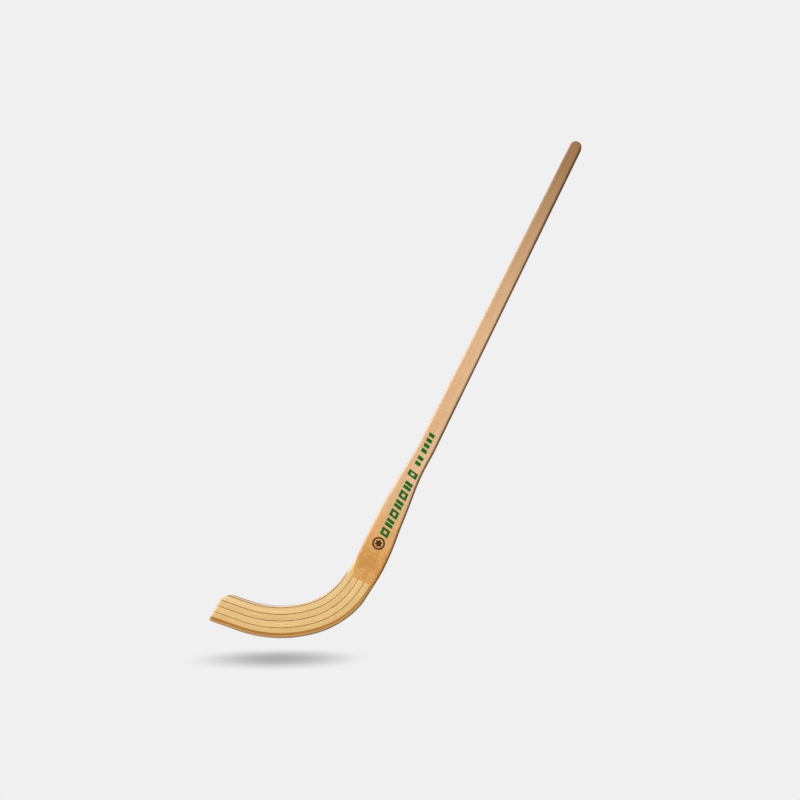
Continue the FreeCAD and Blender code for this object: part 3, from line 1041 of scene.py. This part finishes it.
def lamella_woods():
    """A wood for each lamination, from the outermost inwards, each with its own tone and grain."""
    materials = []
    for index, pale in enumerate(LAMELLA_PALE):
        deep = [value - drop for value, drop in zip(pale, LAMELLA_DROP)]
        tones = (shade(*pale), shade(*deep), LAMELLA_FLECK)
        name = "blade_wood_" + str(LAMELLA_COUNT - index)
        materials.append(plain_wood(name, tones, seed=3.0 + index, cross_grain=0.35))
    return materials


def fibre_sheet():
    """Brown fibre between the laminations, faintly mottled."""
    nodes = Nodes("fibre_sheet")
    grain = nodes.attribute("grain", "Vector")
    mottle = nodes.noise(grain, SHEET_MOTTLE, detail=3.0, roughness=0.6)
    colour = nodes.mix(nodes.spread(mottle, 0.3, 0.7), *SHEET_TONES)
    nodes.link(colour, nodes.shader.inputs["Base Color"])
    nodes.link(nodes.spread(mottle, 0.3, 0.7, 0.35, 0.5), nodes.shader.inputs["Roughness"])
    nodes.bump(mottle, distance=0.00008, strength=0.4)
    nodes.lacquer(0.3, roughness=0.25)
    return nodes.material


def ink(name, tones, rim_strength):
    """Printed ink, thinner in places, with a pale line along the outline of each mark."""
    full, thin, pale = tones
    nodes = Nodes(name)
    grain = nodes.attribute("grain", "Vector")
    mottle = nodes.noise(grain, INK_MOTTLE, detail=3.0, roughness=0.6)
    colour = nodes.mix(nodes.spread(mottle, 0.45, 0.75), full, thin)
    edge = nodes.spread(nodes.attribute("rim", "Fac"), 0.45, 0.8)
    colour = nodes.mix(nodes.scaled(edge, rim_strength), colour, pale)
    nodes.link(colour, nodes.shader.inputs["Base Color"])
    nodes.link(nodes.spread(mottle, 0.3, 0.7, 0.38, 0.55), nodes.shader.inputs["Roughness"])
    nodes.bump(mottle, distance=0.00004, strength=0.3)
    nodes.lacquer(0.08, roughness=0.3, specular=0.15)
    return nodes.material


def make_object():
    fibre = fibre_sheet()
    make_shaft(cheek_wood(), plain_wood("core_wood", CORE_TONES, seed=2.0))
    make_sole(strip_wood(), plain_wood("dark_wood", INLAY_TONES, seed=8.0, end_share=0.75))
    make_inner_edge(fibre, facing_wood())
    make_lamellas(lamella_woods(), fibre)
    make_prints(ink("green_ink", GREEN_TONES, 0.6), ink("brown_ink", BROWN_TONES, 0.25))


# ---- stage, lights and camera

PALE = 0.871
FLOOR_HALF = 12.0
FLOOR_DROP = 0.036
BACKDROP_RADIUS = 11.0
SHADOW_CENTRE = (-0.002, -0.008, -FLOOR_DROP)
SHADOW_HALF = (0.165, 0.16, 1.0)
AMBIENT = 0.21
CAMERA_AZIMUTH = 6.0
CAMERA_ELEVATION = -6.0
CAMERA_DISTANCE = 2.0326
CAMERA_TARGET = Vector((0.21814, 0.0, 0.43033))


def towards(azimuth, elevation):
    """Direction given in degrees: the azimuth turns from the front to the right."""
    turn = math.radians(azimuth)
    rise = math.radians(elevation)
    return Vector((math.sin(turn) * math.cos(rise), -math.cos(turn) * math.cos(rise), math.sin(rise)))


def glow_material(name, colour):
    """Even glow, which no light changes."""
    nodes = Nodes(name)
    nodes.tree.nodes.remove(nodes.shader)
    glow = nodes.node("ShaderNodeEmission")
    glow.inputs["Color"].default_value = (colour, colour, colour, 1)
    nodes.link(glow.outputs["Emission"], nodes.tree.nodes["Material Output"].inputs["Surface"])
    return nodes, glow


def make_floor():
    """Pale floor below the stick, with a soft grey shade under the blade."""
    mesh = bpy.data.meshes.new("floor")
    sides = ((-1, -1), (1, -1), (1, 1), (-1, 1))
    mesh.from_pydata([(x * FLOOR_HALF, y * FLOOR_HALF, 0) for x, y in sides], [], [(0, 1, 2, 3)])
    floor = bpy.data.objects.new("floor", mesh)
    bpy.context.scene.collection.objects.link(floor)
    floor.location.z = -FLOOR_DROP
    nodes, glow = glow_material("floor", PALE)
    position = nodes.node("ShaderNodeNewGeometry").outputs["Position"]
    from_centre = nodes.distance_from(position, SHADOW_CENTRE, SHADOW_HALF)
    brightness = nodes.spread(from_centre, 0.1, 1.08, 0.5, 1.0)
    nodes.link(nodes.scaled(brightness, PALE), glow.inputs["Color"])
    mesh.materials.append(nodes.material)
    return floor


def make_backdrop():
    """Large pale sphere around everything, seen by the camera only."""
    bpy.ops.mesh.primitive_uv_sphere_add(segments=64, ring_count=32, radius=BACKDROP_RADIUS)
    backdrop = bpy.context.object
    backdrop.name = "backdrop"
    nodes, _ = glow_material("backdrop", PALE)
    backdrop.data.materials.append(nodes.material)
    return backdrop


def soft_sun(name, azimuth, elevation, strength, spread, sheen_only=False):
    """Distant soft light, placed and spread in degrees.

    Plain lights only light the surfaces; a sheen light only shows as a reflection in the lacquer.
    """
    data = bpy.data.lights.new(name, "SUN")
    data.energy = strength
    data.angle = math.radians(spread)
    light = bpy.data.objects.new(name, data)
    bpy.context.scene.collection.objects.link(light)
    light.visible_glossy = sheen_only
    light.visible_diffuse = not sheen_only
    light.rotation_mode = "QUATERNION"
    light.rotation_quaternion = towards(azimuth, elevation).to_track_quat("Z", "Y")


def make_stage():
    """Floor, backdrop, an even ambient light and three soft lights."""
    floor = make_floor()
    backdrop = make_backdrop()
    for thing in (floor, backdrop):
        thing.visible_diffuse = False
        thing.visible_glossy = False
        thing.visible_shadow = False
    world = bpy.data.worlds.new("studio")
    world.use_nodes = True
    background = world.node_tree.nodes["Background"]
    background.inputs["Color"].default_value = (1, 1, 1, 1)
    background.inputs["Strength"].default_value = AMBIENT
    bpy.context.scene.world = world
    soft_sun("key", azimuth=-38, elevation=12, strength=3.3, spread=40)
    soft_sun("back", azimuth=200, elevation=30, strength=1.6, spread=50)
    soft_sun("sheen", azimuth=-62, elevation=10, strength=4.0, spread=50, sheen_only=True)


def make_camera():
    back = towards(CAMERA_AZIMUTH, CAMERA_ELEVATION)
    data = bpy.data.cameras.new("camera")
    data.lens = 50
    data.sensor_width = 36
    camera = bpy.data.objects.new("camera", data)
    bpy.context.scene.collection.objects.link(camera)
    camera.location = CAMERA_TARGET + back * CAMERA_DISTANCE
    camera.rotation_mode = "QUATERNION"
    camera.rotation_quaternion = (-back).to_track_quat("-Z", "Y")
    bpy.context.scene.camera = camera
    bpy.context.scene.view_settings.view_transform = "Standard"


make_object()
make_stage()
make_camera()
